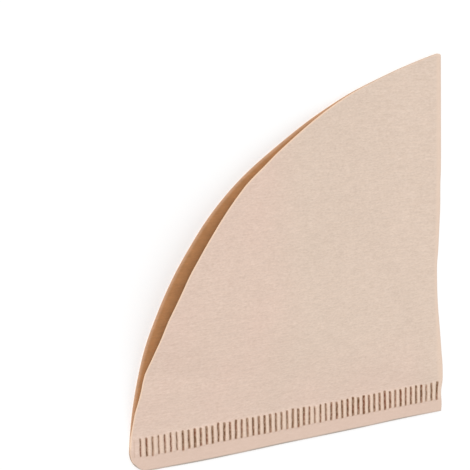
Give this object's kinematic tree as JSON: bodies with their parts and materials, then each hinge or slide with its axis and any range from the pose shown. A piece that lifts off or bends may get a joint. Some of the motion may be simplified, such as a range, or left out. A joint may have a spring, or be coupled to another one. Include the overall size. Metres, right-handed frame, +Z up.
{
  "type": "paper coffee filter",
  "caption": "Unbleached paper cone coffee filter folded flat: a quarter-round pocket of one sheet, folded on one straight edge, crimped shut on the other, with its mouth slightly open.",
  "frame": {"origin": "under the middle of the sheet, on the surface that it lies on", "axes": "+Z up, out of the front ply; +Y along the fold towards the mouth; -X along the crimped seam away from the fold"},
  "size_m": [0.1166, 0.1198, 0.0093],
  "materials": {
    "unbleached_paper": "matte"
  },
  "bodies": {
    "root": {"filter_paper": "unbleached_paper"}
  },
  "joints": []
}
